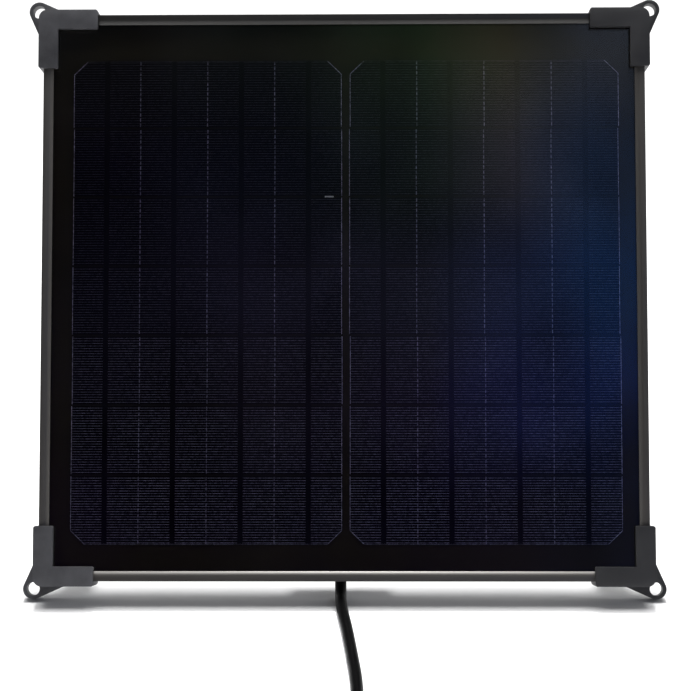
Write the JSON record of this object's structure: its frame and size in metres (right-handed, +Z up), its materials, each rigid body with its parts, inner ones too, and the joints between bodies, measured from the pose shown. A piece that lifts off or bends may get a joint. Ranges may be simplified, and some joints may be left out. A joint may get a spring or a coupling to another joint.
{
  "type": "solar panel for a fountain pump",
  "caption": "Framed solar panel of a fountain pump kit, leaning on a folding rear stand, with corner eyelets and a long lead that ends in a screw connector.",
  "frame": {"origin": "on the floor, at the middle of the box around the panel and its stand", "axes": "+X across the panel to its right as seen from the front, +Y from the cells to the stand, +Z up"},
  "size_m": [0.3718, 0.4345, 0.3339],
  "materials": {
    "anodised": "black anodised, satin",
    "key_metal": "die cast, plain",
    "zinc_steel": "zinc plated",
    "brass": "plain",
    "tinned_copper": "tinned, dull",
    "dark_plastic": "moulded, fine grain",
    "black_plastic": "moulded, fine grain",
    "soft_rubber": "matte",
    "seal_rubber": "matte",
    "clear_glass": "tempered, clear",
    "silicon": "black cell with fine printed lines",
    "black_film": "black film",
    "cable_jacket": "smooth, slightly glossy",
    "strap_fabric": "woven strap"
  },
  "bodies": {
    "panel": {"rail_bottom": "anodised", "rail_top": "anodised", "rail_left": "anodised", "rail_right": "anodised", "corner_key_bottom_left": "key_metal", "corner_protector_bottom_left": "dark_plastic", "corner_key_bottom_right": "key_metal", "corner_protector_bottom_right": "dark_plastic", "corner_key_top_left": "key_metal", "corner_protector_top_left": "dark_plastic", "corner_key_top_right": "key_metal", "corner_protector_top_right": "dark_plastic", "glass_pane": "clear_glass", "cell_left_1": "silicon", "cell_left_2": "silicon", "cell_left_3": "silicon", "cell_left_4": "silicon", "cell_left_5": "silicon", "cell_left_6": "silicon", "cell_left_7": "silicon", "cell_right_1": "silicon", "cell_right_2": "silicon", "cell_right_3": "silicon", "cell_right_4": "silicon", "cell_right_5": "silicon", "cell_right_6": "silicon", "cell_right_7": "silicon", "encapsulant": "black_film", "ribbon_cross": "tinned_copper", "ribbon_left": "tinned_copper", "ribbon_right": "tinned_copper", "backsheet": "black_film", "junction_box_base": "black_plastic", "junction_box_lid": "black_plastic", "bypass_diode": "black_plastic", "gland_body": "black_plastic", "gland_nut": "black_plastic", "connector_insert": "black_plastic", "box_gasket": "seal_rubber", "connector_o_ring": "seal_rubber", "terminal_block": "brass", "strain_relief_sleeve": "soft_rubber", "connector_boot": "soft_rubber", "pivot_bracket_left": "anodised", "pivot_bracket_right": "anodised", "pivot_bolt_left": "zinc_steel", "pivot_bolt_right": "zinc_steel", "cable_lead": "cable_jacket", "cable_tail": "cable_jacket", "cable_coil": "cable_jacket", "cable_tie": "strap_fabric"},
    "stand": {"stand_arm_left": "anodised", "stand_arm_right": "anodised", "stand_foot_bar": "anodised", "rubber_foot_left": "soft_rubber", "rubber_foot_right": "soft_rubber"},
    "left_knob": {"pivot_knob_left": "black_plastic"},
    "right_knob": {"pivot_knob_right": "black_plastic"},
    "screw_ring": {"coupling_ring": "black_plastic"}
  },
  "joints": [
    {"name": "stand_fold", "type": "hinge", "parent": "panel", "child": "stand", "pos_m": [0, 0.01167, 0.15866], "axis": [1, 0, 0], "range_deg": [-10, 142.4]},
    {"name": "left_knob_turn", "type": "hinge", "parent": "panel", "child": "left_knob", "pos_m": [0, 0.01167, 0.15866], "axis": [1, 0, 0], "continuous": true},
    {"name": "right_knob_turn", "type": "hinge", "parent": "panel", "child": "right_knob", "pos_m": [0, 0.01167, 0.15866], "axis": [1, 0, 0], "continuous": true},
    {"name": "coupling_ring_turn", "type": "hinge", "parent": "panel", "child": "screw_ring", "pos_m": [-0.1243, -0.3524, 0.0088], "axis": [-0.9397, 0.342, 0], "continuous": true}
  ]
}
